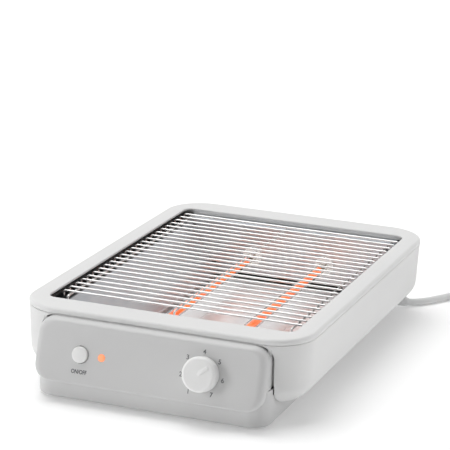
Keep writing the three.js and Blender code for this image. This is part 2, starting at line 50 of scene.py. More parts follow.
# ------------------------------------------------------------------ camera
AZIMUTH, ELEVATION, ROLL = (math.radians(a) for a in (20.332, 15.598, 1.943))
CAMERA_AT = (0.64847, -1.76701, 0.64185)
FOCAL_LENGTH = 173.5
back = Vector((math.sin(AZIMUTH) * math.cos(ELEVATION), -math.cos(AZIMUTH) * math.cos(ELEVATION),
               math.sin(ELEVATION)))
level = Vector((math.cos(AZIMUTH), math.sin(AZIMUTH), 0))
upward = back.cross(level)
right = level * math.cos(ROLL) + upward * math.sin(ROLL)
up = upward * math.cos(ROLL) - level * math.sin(ROLL)
camera = bpy.data.objects.new("camera", bpy.data.cameras.new("camera"))
scene.collection.objects.link(camera)
camera.data.sensor_width = 36
camera.data.lens = FOCAL_LENGTH
camera.data.clip_start, camera.data.clip_end = 0.05, 20
camera.matrix_world = Matrix.Translation(CAMERA_AT) @ Matrix((right, up, back)).transposed().to_4x4()
scene.camera = camera


# ------------------------------------------------------------------ materials
def node(tree, kind, **values):
    made = tree.nodes.new(kind)
    for key, value in values.items():
        if hasattr(made, key):
            setattr(made, key, value)
        else:
            made.inputs[key.replace("_", " ")].default_value = value
    return made


def start(name):
    material = bpy.data.materials.new(name)
    material.use_nodes = True
    tree = material.node_tree
    shader = tree.nodes["Principled BSDF"]
    place = node(tree, "ShaderNodeTexCoord")
    return material, tree, shader, place.outputs["Object"]


def ramp(tree, source, low, high, first=0.35, last=0.65):
    made = node(tree, "ShaderNodeValToRGB")
    made.color_ramp.elements[0].position, made.color_ramp.elements[1].position = first, last
    made.color_ramp.elements[0].color = (*low, 1)
    made.color_ramp.elements[1].color = (*high, 1)
    tree.links.new(source, made.inputs["Fac"])
    return made.outputs["Color"]


def noise(tree, place, scale, detail=3.0, stretch=None):
    made = node(tree, "ShaderNodeTexNoise", Scale=scale, Detail=detail)
    if stretch:
        turn = node(tree, "ShaderNodeMapping", Scale=stretch)
        tree.links.new(place, turn.inputs["Vector"])
        place = turn.outputs["Vector"]
    tree.links.new(place, made.inputs["Vector"])
    return made.outputs["Fac"]


def spread(tree, source, low, high):
    made = node(tree, "ShaderNodeMapRange", To_Min=low, To_Max=high)
    tree.links.new(source, made.inputs["Value"])
    return made.outputs["Result"]


def bump(tree, shader, source, strength, distance):
    made = node(tree, "ShaderNodeBump", Strength=strength, Distance=distance)
    tree.links.new(source, made.inputs["Height"])
    tree.links.new(made.outputs["Normal"], shader.inputs["Normal"])


def plastic(name, low, high, rough=(0.42, 0.5), grain=1400, strength=0.12, specular=0.4):
    """Moulded plastic: slow colour drift, fine spark-eroded grain and a slightly uneven sheen."""
    material, tree, shader, place = start(name)
    drift = noise(tree, place, 9, 4)
    tree.links.new(ramp(tree, drift, low, high), shader.inputs["Base Color"])
    fine = noise(tree, place, grain, 2)
    tree.links.new(spread(tree, noise(tree, place, 60, 4), *rough), shader.inputs["Roughness"])
    shader.inputs["Specular IOR Level"].default_value = specular
    bump(tree, shader, fine, strength, 0.0001)
    return material


def metal(name, low, high, rough, stretch, scale=40, strength=0.08, wave=0.0):
    """Sheet or wire: drawn lines along one axis in colour, gloss and relief."""
    material, tree, shader, place = start(name)
    lines = noise(tree, place, scale, 6, stretch)
    tree.links.new(ramp(tree, lines, low, high), shader.inputs["Base Color"])
    tree.links.new(spread(tree, lines, *rough), shader.inputs["Roughness"])
    shader.inputs["Metallic"].default_value = 1
    height = lines
    if wave:
        slow = noise(tree, place, 14, 2)
        mix = node(tree, "ShaderNodeMath", operation="MULTIPLY_ADD")
        mix.inputs[1].default_value = wave
        tree.links.new(slow, mix.inputs[0])
        tree.links.new(lines, mix.inputs[2])
        height = mix.outputs["Value"]
    bump(tree, shader, height, strength, 0.0002)
    return material


WHITE_SHELL = plastic("white_shell", (0.765, 0.765, 0.762), (0.79, 0.79, 0.786))
GREY_SHELL = plastic("grey_shell", (0.645, 0.645, 0.645), (0.675, 0.675, 0.673))
KNOB_WHITE = plastic("white_controls", (0.87, 0.87, 0.865), (0.90, 0.90, 0.895), (0.3, 0.38), 2200, 0.04)
BLACK = plastic("black_plastic", (0.012, 0.012, 0.013), (0.03, 0.03, 0.031), (0.5, 0.65), 900, 0.25)
RUBBER = plastic("foot_rubber", (0.02, 0.02, 0.02), (0.045, 0.045, 0.045), (0.75, 0.9), 700, 0.4, 0.2)
CORD_SKIN = plastic("cord_white", (0.74, 0.745, 0.745), (0.80, 0.80, 0.795), (0.36, 0.46), 500, 0.1)
CERAMIC_PAINTED_GLOW = plastic("white_ceramic", (0.84, 0.83, 0.80), (0.90, 0.89, 0.87), (0.35, 0.5), 260, 0.2)
# Painted light: a faint warm glow on the ceramic caps and the terminal block, so they read bright in the dim
# chamber.
ceramic_glow_shader = CERAMIC_PAINTED_GLOW.node_tree.nodes["Principled BSDF"]
ceramic_glow_shader.inputs["Emission Color"].default_value = (1, 0.93, 0.86, 1)
ceramic_glow_shader.inputs["Emission Strength"].default_value = 0.3
INK = plastic("dial_ink", (0.11, 0.112, 0.12), (0.145, 0.147, 0.155), (0.5, 0.6), 900, 0.1)
REFLECTOR = metal("polished_sheet", (0.74, 0.77, 0.81), (0.84, 0.855, 0.875), (0.34, 0.42), (30, 1, 10),
                  3, 0.015, 1.0)
TRAY = metal("tray_sheet", (0.92, 0.925, 0.93), (0.96, 0.96, 0.96), (0.5, 0.56), (30, 1, 30), 3, 0.01)
ZINC = metal("zinc_steel", (0.42, 0.43, 0.45), (0.62, 0.62, 0.63), (0.32, 0.5), (90, 1, 90), 4, 0.1)
CHROME = metal("grill_chrome", (0.80, 0.795, 0.785), (0.88, 0.875, 0.865), (0.34, 0.42), (1, 40, 40),
               12, 0.02)
# Painted shade: the grill rails are coloured near black so the space under the rim of the top reads dark.
SHADE_DARK_RAIL = plastic("painted_rail", (0.03, 0.03, 0.032), (0.06, 0.06, 0.062), (0.4, 0.55), 300, 0.15)
BRASS = metal("contact_brass", (0.50, 0.36, 0.14), (0.72, 0.56, 0.27), (0.22, 0.4), (1, 1, 60), 20, 0.1)


def glass(name, tint, rough, ior=1.46):
    material, tree, shader, place = start(name)
    shader.inputs["Transmission Weight"].default_value = 1
    shader.inputs["IOR"].default_value = ior
    haze = noise(tree, place, 160, 3)
    tree.links.new(ramp(tree, haze, tint, (1, 1, 1)), shader.inputs["Base Color"])
    tree.links.new(spread(tree, haze, 0.0, rough), shader.inputs["Roughness"])
    bump(tree, shader, noise(tree, place, 90, 2, (1, 0.1, 1)), 0.05, 0.0001)
    return material


SHADE_FADE = 0.0008       # metres over which the painted shade on a sheet fades in
PAINTED_SHADE_FROM = 0.1062  # metres from the middle plane, beyond which a sheet gets painted shade


def shade_edges(material, limit, shade_colour):
    """Paints shade onto a sheet beyond a distance, in metres, to either side of the middle plane."""
    tree = material.node_tree
    shader = tree.nodes["Principled BSDF"]
    place = node(tree, "ShaderNodeTexCoord").outputs["Object"]
    parts = node(tree, "ShaderNodeSeparateXYZ")
    tree.links.new(place, parts.inputs["Vector"])
    far = node(tree, "ShaderNodeMath", operation="ABSOLUTE")
    tree.links.new(parts.outputs["X"], far.inputs[0])
    edge = node(tree, "ShaderNodeMapRange")
    edge.inputs["From Min"].default_value, edge.inputs["From Max"].default_value = limit - SHADE_FADE, limit
    tree.links.new(far.outputs["Value"], edge.inputs["Value"])
    mix = node(tree, "ShaderNodeMix", data_type="RGBA")
    tree.links.new(edge.outputs["Result"], mix.inputs["Factor"])
    tree.links.new(shader.inputs["Base Color"].links[0].from_socket, mix.inputs["A"])
    mix.inputs["B"].default_value = (*shade_colour, 1)
    tree.links.new(mix.outputs["Result"], shader.inputs["Base Color"])


# Painted shade: the polished sheets turn near black towards the sides, standing in for the shade under the
# rim of the top.
shade_edges(REFLECTOR, PAINTED_SHADE_FROM, (0.05, 0.05, 0.052))


def glow(name, low, high, light, strength):
    material, tree, shader, place = start(name)
    spots = noise(tree, place, 55, 3)
    tree.links.new(ramp(tree, spots, low, high), shader.inputs["Base Color"])
    tree.links.new(ramp(tree, spots, light[0], light[1]), shader.inputs["Emission Color"])
    shader.inputs["Emission Strength"].default_value = strength
    tree.links.new(spread(tree, spots, 0.3, 0.5), shader.inputs["Roughness"])
    return material


QUARTZ = glass("quartz", (0.97, 0.95, 0.93), 0.03)
HOT_COIL = glow("hot_coil", (0.25, 0.05, 0.01), (0.4, 0.09, 0.02),
                ((1.0, 0.14, 0.004), (1.0, 0.21, 0.01)), 1.05)
COIL_END = metal("coil_end", (0.16, 0.10, 0.05), (0.34, 0.22, 0.10), (0.3, 0.5), (60, 2, 60), 10, 0.2)
LENS = glow("amber_lens", (0.85, 0.25, 0.1), (0.95, 0.38, 0.18), ((1.0, 0.24, 0.11), (1.0, 0.32, 0.17)), 0.5)
LAMP = glass("lamp_glass", (0.95, 0.9, 0.85), 0.05)


# ------------------------------------------------------------------ mesh helpers
def build(name, verts, faces):
    """A mesh object from points in millimetres, its doubled points merged and its faces turned outwards."""
    mesh = bpy.data.meshes.new(name)
    mesh.from_pydata([at(*v) for v in verts], [], faces)
    made = bpy.data.objects.new(name, mesh)
    scene.collection.objects.link(made)
    tidy = bmesh.new()
    tidy.from_mesh(mesh)
    bmesh.ops.remove_doubles(tidy, verts=tidy.verts, dist=1e-7)
    bmesh.ops.recalc_face_normals(tidy, faces=tidy.faces)
    tidy.to_mesh(mesh)
    tidy.free()
    return made


def outline(hx, hy, r, seg=14, cx=0.0, cy=0.0):
    points = []
    for sx, sy, start_angle in ((1, 1, 0), (-1, 1, 90), (-1, -1, 180), (1, -1, 270)):
        for i in range(seg + 1):
            a = math.radians(start_angle + 90 * i / seg)
            points.append((cx + sx * (hx - r) + r * math.cos(a), cy + sy * (hy - r) + r * math.sin(a)))
    return points


def ring(hx, hy, r, z, seg=14, cx=0.0, cy=0.0):
    return [(x, y, z) for x, y in outline(hx, hy, r, seg, cx, cy)]


def loft(rings, closed=False):
    count = len(rings[0])
    verts = [p for one in rings for p in one]
    faces = []
    for k in range(len(rings) if closed else len(rings) - 1):
        a, b = k * count, (k + 1) % len(rings) * count
        faces += [(a + i, a + (i + 1) % count, b + (i + 1) % count, b + i) for i in range(count)]
    if not closed:
        faces.append(tuple(range(count))[::-1])
        faces.append(tuple(range((len(rings) - 1) * count, len(rings) * count)))
    return verts, faces


def lathe(profile, origin, axis, seg=48, closed=False):
    """Points and faces of a turned body. profile is (radius, distance along axis) pairs."""
    turn = Vector((0, 0, 1)).rotation_difference(Vector(axis).normalized())
    origin = Vector(origin)
    verts, faces, rows = [], [], []
    for radius, along in profile:
        if radius < 1e-6:
            rows.append([len(verts)] * seg)
            verts.append(tuple(origin + turn @ Vector((0, 0, along))))
            continue
        rows.append(list(range(len(verts), len(verts) + seg)))
        for i in range(seg):
            a = 2 * math.pi * i / seg
            p = Vector((radius * math.cos(a), radius * math.sin(a), along))
            verts.append(tuple(origin + turn @ p))
    last = len(rows) if closed else len(rows) - 1
    for k in range(last):
        a, b = rows[k], rows[(k + 1) % len(rows)]
        for i in range(seg):
            j = (i + 1) % seg
            face = []
            for v in (a[i], a[j], b[j], b[i]):
                if v not in face:
                    face.append(v)
            if len(face) > 2:
                faces.append(tuple(face))
    return verts, faces


def tube(points, radius, sides=10):
    """Points and faces of a round bar along a line of points in one plane or nearly so."""
    points = [Vector(p) for p in points]
    rings, side = [], None
    for i, p in enumerate(points):
        axis = (points[min(i + 1, len(points) - 1)] - points[max(i - 1, 0)]).normalized()
        if side is None:
            side = axis.orthogonal().normalized()
        side = (side - axis * side.dot(axis)).normalized()
        other = axis.cross(side)
        rings.append([tuple(p + radius * (side * math.cos(2 * math.pi * k / sides)
                                          + other * math.sin(2 * math.pi * k / sides)))
                      for k in range(sides)])
    return loft(rings)


def joined(shapes):
    verts, faces = [], []
    for more_verts, more_faces in shapes:
        base = len(verts)
        verts += more_verts
        faces += [tuple(base + i for i in f) for f in more_faces]
    return verts, faces


def box_shape(x0, x1, y0, y1, z0, z1):
    verts = [(x, y, z) for x in (x0, x1) for y in (y0, y1) for z in (z0, z1)]
    return verts, [(0, 1, 3, 2), (4, 6, 7, 5), (0, 4, 5, 1), (2, 3, 7, 6), (0, 2, 6, 4), (1, 5, 7, 3)]


def settle(obj):
    """Applies the modifiers that obj has."""
    shown = obj.evaluated_get(bpy.context.evaluated_depsgraph_get())
    mesh = bpy.data.meshes.new_from_object(shown)
    obj.modifiers.clear()
    obj.data = mesh


def cut(obj, shapes, operation="DIFFERENCE"):
    for shape in shapes:
        tool = build("cutter", *shape)
        step = obj.modifiers.new("cut", "BOOLEAN")
        step.operation, step.solver, step.object = operation, "EXACT", tool
        settle(obj)
        bpy.data.objects.remove(tool)


def soften(obj, width=0.4, segments=3, angle=32):
    step = obj.modifiers.new("soften", "BEVEL")
    step.width, step.segments = width * MM, segments
    step.limit_method, step.angle_limit = "ANGLE", math.radians(angle)
    step.harden_normals = False
    step.use_clamp_overlap = True
    settle(obj)


def finish(obj, material, body, nodes=(), sharp=38):
    for face in obj.data.polygons:
        face.use_smooth = True
    obj.data.set_sharp_from_angle(angle=math.radians(sharp))
    obj.data.materials.clear()
    obj.data.materials.append(material)
    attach(obj, body)
    if nodes:
        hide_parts(*nodes)
    return obj


# ------------------------------------------------------------------ mains cord
CORD_R = 3.5
EXIT = Vector((99.7, 164.7, 11))
LEAVES = Vector((0.68, 0.68, -0.27)).normalized()
COIL = Vector((202, 253.83, 0))
PLUG_AT = Vector((246, 208.9, 9))
LOW, HIGH, OUTER, INNER = 3.6, 10.7, 42.05, 34.95


def smoothly(value, first, last, a, b):
    t = min(max((value - first) / (last - first), 0), 1)
    return a + (b - a) * t * t * (3 - 2 * t)


def coil_point(travelled):
    """A point of the coil, after so many degrees clockwise from its left side."""
    radius = smoothly(travelled, 290, 350, OUTER, INNER)
    if travelled > 700:
        radius = smoothly(travelled, 915, 970, INNER, OUTER)
    height = smoothly(travelled, 590, 650, LOW, HIGH)
    a = math.radians(180 - travelled)
    return Vector((COIL.x + radius * math.cos(a), COIL.y + radius * math.sin(a), height))


def spline_through(points, steps=6):
    """Points along a Catmull-Rom curve through the given ones."""
    line = []
    padded = [points[0] * 2 - points[1], *points, points[-1] * 2 - points[-2]]
    for a, b, c, d in zip(padded, padded[1:], padded[2:], padded[3:], strict=False):
        for i in range(steps):
            t = i / steps
            line.append(0.5 * (2 * b + (c - a) * t + (2 * a - 5 * b + 4 * c - d) * t * t
                               + (3 * b - a - 3 * c + d) * t ** 3))
    line.append(points[-1])
    return line


run = [EXIT, EXIT + LEAVES * 6, EXIT + LEAVES * 12, EXIT + LEAVES * 18, EXIT + LEAVES * 23,
       Vector((119.8, 184.6, 4.1)), Vector((124.5, 189.5, 3.75)), Vector((130.5, 196.8, LOW)),
       Vector((136, 204.9, LOW)), Vector((141.2, 212.8, LOW)), Vector((146, 220.8, LOW)),
       Vector((149.8, 227.3, LOW)), Vector((153.4, 234.3, LOW)), Vector((157, 243, LOW))]
turns = [coil_point(a) for a in range(0, 1261, 9)]
after = [Vector((244.05, 247.5, 10.6)), Vector((244.2, 240, 10.3)), Vector((244.6, 231, 9.8)),
         Vector((245.2, 221, 9.3)), Vector((245.8, 213, 9.05)), Vector((246, 206.5, 9))]
line = spline_through(run + turns[:2], 5)[:-5] + turns[1:-1] + spline_through(turns[-1:] + after, 4)
route = [at(*p) for p in line]
cord_data = bpy.data.curves.new("power_cord_sheath", "CURVE")
cord_data.dimensions = "3D"
cord_data.bevel_depth = CORD_R * MM
cord_data.bevel_resolution = 5
cord_data.use_fill_caps = True
spline = cord_data.splines.new("POLY")
spline.points.add(len(route) - 1)
for point, p in zip(spline.points, route, strict=True):
    point.co = (*p, 1)
spline.use_smooth = True
cord = bpy.data.objects.new("power_cord_sheath", cord_data)
scene.collection.objects.link(cord)
cord_data.materials.append(CORD_SKIN)
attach(cord, "toaster")
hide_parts("power_cord", "cord_coil", "cord_tail")

sleeve = [(3.62, -9), (7.6, -9), (7.6, -6.8), (5.9, -6.6), (5.9, 2.2), (6.9, 2.2), (7.2, 2.6), (7.2, 4.0),
          (6.9, 4.4), (5.9, 4.7)]
for k in range(5):
    z = 6.2 + 3.1 * k
    r = 5.75 - 0.27 * k
    sleeve += [(r, z - 0.9), (r, z + 0.9), (r - 0.55, z + 1.2), (r - 0.6, z + 1.9)]
sleeve += [(4.3, 21.3), (4.1, 22), (3.62, 22)]
relief = build("strain_relief_sleeve", *lathe(sleeve, EXIT, LEAVES, 40, True))
finish(relief, CORD_SKIN, "toaster", ["strain_relief"], 50)

plug_rings = []
for along, wide, high in ((-1, 3.9, 3.9), (-0.6, 4.9, 4.7), (0, 5.2, 5), (9, 6, 5.6), (14, 7.8, 6.2),
                          (20, 11, 7.4), (26, 14.6, 8.2), (31, 17, 8.6), (35, 17.4, 8.6), (41, 17.4, 8.6),
                          (41.8, 16.9, 8.1), (42, 16.2, 7.4)):
    corner = min(wide, high) * 0.82
    plug_rings.append([(PLUG_AT.x + u, PLUG_AT.y - along, PLUG_AT.z + w)
                       for u, w in outline(wide, high, corner, 8)])
plug = build("plug_shell", *loft(plug_rings))
grips = []
for side in (-1, 1):
    for k in range(4):
        x = PLUG_AT.x + side * 9.5
        y = PLUG_AT.y - 27.5 - 3.2 * k
        grips.append(box_shape(x - 4.5, x + 4.5, y - 0.5, y + 0.5, 17.1, 19))
cut(plug, grips)
finish(plug, CORD_SKIN, "toaster", ["plug_body"], 42)
PIN_OFFSET = 9.3
for label, side in (("left", 1), ("right", -1)):
    root = Vector((PLUG_AT.x + side * PIN_OFFSET, PLUG_AT.y, PLUG_AT.z))
    sleeve_part = [(0, 42.3), (2.4, 42.3), (2.4, 51.5), (2.1, 51.8), (2.4, 52.2), (2.4, 59.6), (2.2, 60.6),
                   (1.5, 61.2), (0, 61.3)]
    pin = build(f"plug_prong_{label}", *lathe(sleeve_part, root, (0, -1, 0), 24))
    finish(pin, BRASS, "toaster", [f"plug_pin_{label}"], 40)

# ------------------------------------------------------------------ top bezel
TOP, SEAM, CORNER = 76.0, 70.9, 38.5
SHELL_X, SHELL_Y = 130, 191
OPEN_X, OPEN_Y, OPEN_R = 112.7, 162.9, 9.0
END_SHARE = 0.2     # the undercut at the front and rear, as a share of the one along the sides


def shell_ring(inset, z, seg=22):
    return ring(SHELL_X - inset, SHELL_Y - inset, CORNER - inset, z, seg)


def open_ring(out, z, seg=22):
    return ring(OPEN_X + out, OPEN_Y + out, OPEN_R + out, z, seg)


def under_ring(out, z, seg=22):
    return ring(OPEN_X + out, OPEN_Y + out * END_SHARE, OPEN_R + 1, z, seg)


bezel = [shell_ring(1.0, SEAM), shell_ring(0.45, SEAM + 0.1), shell_ring(0.12, SEAM + 0.45),
         shell_ring(0.0, SEAM + 1.0)]
for k in range(1, 9):
    a = math.radians(90 * k / 8)
    bezel.append(shell_ring(3.0 * (1 - math.cos(a)), 73.4 + 2.6 * math.sin(a)))
for k in range(5):
    a = math.radians(90 * k / 4)
    bezel.append(open_ring(1.0 - math.sin(a), TOP - 1.0 * (1 - math.cos(a))))
bezel += [open_ring(0, 74.2), open_ring(0.3, 73.8), under_ring(5.2, 73.5), under_ring(5.6, 73.1),
          under_ring(5.6, SEAM)]
finish(build("top_bezel_shell", *loft(bezel, True)), WHITE_SHELL, "toaster", ["top_bezel"], 60)

# ------------------------------------------------------------------ outer skirt
CUT = 105.2
SKIRT_SEG = 18


def eased(stops, steps=4):
    """The stops of a section, joined by a smooth curve."""
    return [(p.x, p.y) for p in spline_through([Vector((i, z, 0)) for i, z in stops], steps)]


CURL_LOW = 16.2
outer_curl = eased([(2.1, 34), (2.35, 32), (3.0, 29), (4.6, 25.5), (7.2, 22), (10.6, 19), (14.5, 17),
                    (17.6, CURL_LOW)])
inner_curl = eased([(18.5, CURL_LOW + 2.0), (14.6, 19.6), (10.8, 22), (8.2, 25), (6.6, 27.8)])
section = [(1.0, 70.6), (0.55, 70.45), (0.35, 70.1), (0.32, 69.6), (1.2, 52), *outer_curl,
           (18.3, CURL_LOW + 0.15), (18.5, CURL_LOW + 0.5), *inner_curl]
skirt_rings = [shell_ring(i, z, SKIRT_SEG) for i, z in section]
skirt_rings += [ring(100.5, 165.5, 16, 28, SKIRT_SEG), ring(100.5, 165.5, 16, 30.2, SKIRT_SEG),
                shell_ring(6.0, 30.2, SKIRT_SEG), shell_ring(2.6, 70.6, SKIRT_SEG)]
side_line = [(-(CUT + 8) + 8 * math.cos(a), CURL_LOW + 8 - 8 * math.sin(a))
             for a in (math.radians(90 * k / 12) for k in range(13))]
top_line = [(-(CUT - 13) + 13 * math.cos(a), 69.9 - 13 + 13 * math.sin(a))
            for a in (math.radians(90 + 90 * k / 14) for k in range(15))]
half_cut = [*top_line, *side_line, (-(CUT + 8), 8)]
cut_line = [*half_cut, *[(-x, z) for x, z in reversed(half_cut)]]
front_cut = loft([[(x, y, z) for x, z in cut_line] for y in (-215, -172)])
skirt = build("outer_skirt_shell", *loft(skirt_rings, True))
shelf_gap = box_shape(-CUT, CUT, -180, -150, 8, 36)
pull_notch = box_shape(-89, 89, 160, 200, 8, 27.6)
cord_notch = lathe([(0, -10), (10, -10), (10, 40), (0, 40)], EXIT, LEAVES, 40)
cut(skirt, [front_cut, shelf_gap, pull_notch, cord_notch])
finish(skirt, WHITE_SHELL, "toaster", ["outer_skirt"], 42)

# ------------------------------------------------------------------ control face frame
TILT = math.radians(15.6)
FACE_Y, FACE_Z = -206.0, 43.4
NORMAL = Vector((0, -math.cos(TILT), math.sin(TILT)))
RISE = Vector((0, math.sin(TILT), math.cos(TILT)))
BUTTON_X, LAMP_X, KNOB_X = -60.8, -41.4, 49.4
FASCIA_LOW, FASCIA_HIGH, FASCIA_HALF, FASCIA_CORNER = 17.3, 69.9, 103.3, 14


def on_face(x, along=0.0, out=0.0):
    return Vector((x, FACE_Y, FACE_Z)) + RISE * along + NORMAL * out


def fascia_ring(inset, depth, flat=None, seg=14):
    low, high = FASCIA_LOW + inset * 0.42, FASCIA_HIGH - inset * 0.42
    radius = max(FASCIA_CORNER - inset * 0.35, 4)
    made = []
    for x, z in outline(FASCIA_HALF - inset, (high - low) / 2, radius, seg, 0, (high + low) / 2):
        y = FACE_Y + (z - FACE_Z) * math.tan(TILT) + depth if flat is None else flat
        made.append((x, y, z))
    return made


# ------------------------------------------------------------------ base tub
TUB_FRONT, TUB_REAR, TUB_HALF_X = -205, 170, 105
TUB_MID, TUB_HALF_Y = (TUB_FRONT + TUB_REAR) / 2, (TUB_REAR - TUB_FRONT) / 2


def tub_ring(inset, z, seg=16):
    return ring(TUB_HALF_X - inset, TUB_HALF_Y - inset, max(18 - inset, 3), z, seg, 0, TUB_MID)


tub = build("base_tub_shell", *loft([tub_ring(1.9, 2), tub_ring(1.0, 2.25), tub_ring(0.4, 2.9),
                                     tub_ring(0.1, 3.9), tub_ring(0, 5), tub_ring(0, 33)]))
tub_cuts = [loft([tub_ring(2.5, 4.5), tub_ring(2.5, 40)]),
            box_shape(-120, 120, -187.6, 180, 27.7, 40),
            loft([fascia_ring(-0.4, 0, -199.3), fascia_ring(-0.4, 0, -230)]),
            box_shape(-120, 120, -230, -199.3, 33, 40),
            box_shape(-80, 80, 164, 174, 9.6, 21.4),
            lathe([(0, -12), (6.2, -12), (6.2, 12), (0, 12)], EXIT, LEAVES, 32)]
SCREWS = {"base_screw_front_left": (-90, -182), "base_screw_front_right": (90, -182),
          "base_screw_rear_left": (-90, 110), "base_screw_rear_right": (90, 110)}
screw_hole = [(0, -1), (4.2, -1), (4.2, 3.2), (2.1, 3.2), (2.1, 8), (0, 8)]
for x, y in SCREWS.values():
    tub_cuts.append(lathe(screw_hole, (x, y, 0), (0, 0, 1), 32))
cut(tub, tub_cuts)
soften(tub, 0.35, 2, 50)
finish(tub, GREY_SHELL, "toaster", ["base_tub"], 40)

screw_profile = [(0, 2.1), (3.2, 2.1), (3.6, 2.4), (3.6, 2.9), (1.7, 2.9), (1.7, 8.6), (1.3, 9), (0, 9)]
for name, (x, y) in SCREWS.items():
    head = build(f"{name}_head", *lathe(screw_profile, (x, y, 0), (0, 0, 1), 28))
    cut(head, [box_shape(x - 2.2, x + 2.2, y - 0.35, y + 0.35, 1, 2.6),
               box_shape(x - 0.35, x + 0.35, y - 2.2, y + 2.2, 1, 2.6)])
    finish(head, ZINC, "toaster", [name], 35)
foot_profile = [(0, 0), (3.5, 0), (4, 0.35), (4.5, 0), (7.6, 0), (8.3, 0.2), (8.8, 0.7), (9, 1.5), (8.8, 1.7),
                (0, 1.7)]
for name, x, y in (("foot_front_left", -84, -160), ("foot_front_right", 84, -160),
                   ("foot_rear_left", -84, 140), ("foot_rear_right", 84, 140)):
    foot = build(f"{name}_pad", *lathe(foot_profile, (x, y, 0), (0, 0, 1), 40))
    finish(foot, RUBBER, "toaster", [name], 40)

# ------------------------------------------------------------------ control fascia
def hole(x, radius, depth=8, seg=56):
    return lathe([(0, -depth), (radius, -depth), (radius, 6), (0, 6)], on_face(x), NORMAL, seg)


fascia_rings = [fascia_ring(0, 0, -188), fascia_ring(0, 12), fascia_ring(0, 9)]
for k in range(1, 15):
    a = math.radians(90 * k / 14)
    fascia_rings.append(fascia_ring(7.5 * (1 - math.cos(a)) ** 1.25, 9 * (1 - math.sin(a)) ** 1.12))
fascia_rings.append(fascia_ring(10, 0))
fascia = build("control_fascia_shell", *loft(fascia_rings))
hollow = loft([fascia_ring(2.6, 0, -180), fascia_ring(2.8, 9.5), fascia_ring(5.4, 4.4), fascia_ring(7, 3)])
cut(fascia, [hollow, box_shape(-120, 120, -199.6, -180, 0, 33.3), hole(BUTTON_X, 7.6), hole(LAMP_X, 3.35),
             hole(KNOB_X, 3.6)])
finish(fascia, GREY_SHELL, "toaster", ["control_fascia"], 24)
tongues = []
for side in (-1, 1):
    near, mid, far = side * 99.8, side * 102.9, side * 109
    tongues.append(box_shape(min(near, mid), max(near, mid), -189, -181.8, 34, 67))
    tongues.append(box_shape(min(mid, far), max(mid, far), -183, -181.8, 34, 67))
baffle = build("fascia_side_baffles", *joined(tongues))
finish(baffle, GREY_SHELL, "toaster", (), 30)

# ------------------------------------------------------------------ knob, button, lamp
KNOB_AT = on_face(KNOB_X, 0, 0.5)
R_KNOB, H_KNOB = 14.9, 11.2
knob_profile = [(0, 0), (R_KNOB - 0.5, 0), (R_KNOB - 0.1, 0.3), (R_KNOB, 0.8), (R_KNOB - 0.05, H_KNOB - 3.3)]
for k in range(1, 9):
    a = math.radians(90 * k / 8)
    knob_profile.append((R_KNOB - 0.05 - 2.6 * (1 - math.cos(a)), H_KNOB - 3.0 + 2.7 * math.sin(a)))
knob_profile += [(R_KNOB - 4, H_KNOB - 0.3), (R_KNOB - 8, H_KNOB - 0.3), (0, H_KNOB - 0.3)]
knob = build("timer_knob_cap", *lathe(knob_profile, KNOB_AT, NORMAL, 96))
POINTER_TURN = math.radians(49)
side_way = Vector((math.cos(POINTER_TURN), 0, 0)) - RISE * math.sin(POINTER_TURN)
point_way = Vector((math.sin(POINTER_TURN), 0, 0)) + RISE * math.cos(POINTER_TURN)
pointer_rings = []
for half, long, height in ((1.8, 5.1, -1.5), (1.8, 5.1, 0.4), (1.7, 5.0, 0.6), (1.45, 4.75, 0.7)):
    pointer_rings.append([tuple(KNOB_AT + side_way * u + point_way * (v + 5.3) + NORMAL * (H_KNOB + height))
                          for u, v in outline(half, long, half - 0.01, 8)])
cut(knob, [loft(pointer_rings)], "UNION")
cut(knob, [lathe([(0, -1), (3.3, -1), (3.3, 8.3), (0, 8.3)], KNOB_AT, NORMAL, 24)])
finish(knob, KNOB_WHITE, "timer_dial", ["timer_knob"], 30)

button_profile = [(0, -6), (7.0, -6), (7.1, -5.8), (7.1, 1.3), (7.0, 1.7), (6.75, 2.0), (6.4, 2.25),
                  (5.8, 2.35), (3, 2.5), (0, 2.55)]
button = build("power_button_cap", *lathe(button_profile, on_face(BUTTON_X), NORMAL, 64))
finish(button, KNOB_WHITE, "power_key", ["power_button"], 40)
lens_profile = [(0, -4), (3.2, -4), (3.2, 0.0), (3.1, 0.3), (2.7, 0.62), (2.0, 0.82), (1.0, 0.9), (0, 0.92)]
lens = build("pilot_lens_dome", *lathe(lens_profile, on_face(LAMP_X), NORMAL, 48))
finish(lens, LENS, "toaster", ["pilot_lens"], 40)


def print_on_face(name, words, x, along, height, bold=0.0, narrow=1.0):
    """Ink on the control face, standing a hair proud of it."""
    data = bpy.data.curves.new(name, "FONT")
    data.body = words
    data.size = height * MM
    data.align_x, data.align_y = "CENTER", "CENTER"
    data.extrude = 0.00004
    data.offset = bold * MM
    text = bpy.data.objects.new(name, data)
    scene.collection.objects.link(text)
    place = at(*on_face(x, along, 0.05))
    turn = Matrix((Vector((1, 0, 0)), RISE, NORMAL)).transposed().to_4x4()
    text.matrix_world = Matrix.Translation(place) @ turn @ Matrix.Diagonal((narrow, 1, 1, 1))
    bpy.context.view_layer.update()
    mesh = bpy.data.meshes.new_from_object(text.evaluated_get(bpy.context.evaluated_depsgraph_get()))
    mesh.transform(text.matrix_world)
    bpy.data.objects.remove(text)
    mark = bpy.data.objects.new(name, mesh)
    scene.collection.objects.link(mark)
    mesh.materials.clear()
    mesh.materials.append(INK)
    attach(mark, "toaster")
    return mark


DIAL_RADIUS, DIAL_STEP = 18.7, 49
for number in range(1, 8):
    a = math.radians(90 - DIAL_STEP * (number - 4))
    print_on_face(f"dial_mark_{number}", str(number), KNOB_X - 0.4 + DIAL_RADIUS * math.cos(a),
                  DIAL_RADIUS * math.sin(a) - 0.3, 5.6, 0.06)
print_on_face("switch_mark", "ON/OFF", -60.2, -14.6, 4.9, 0.11, 0.8)

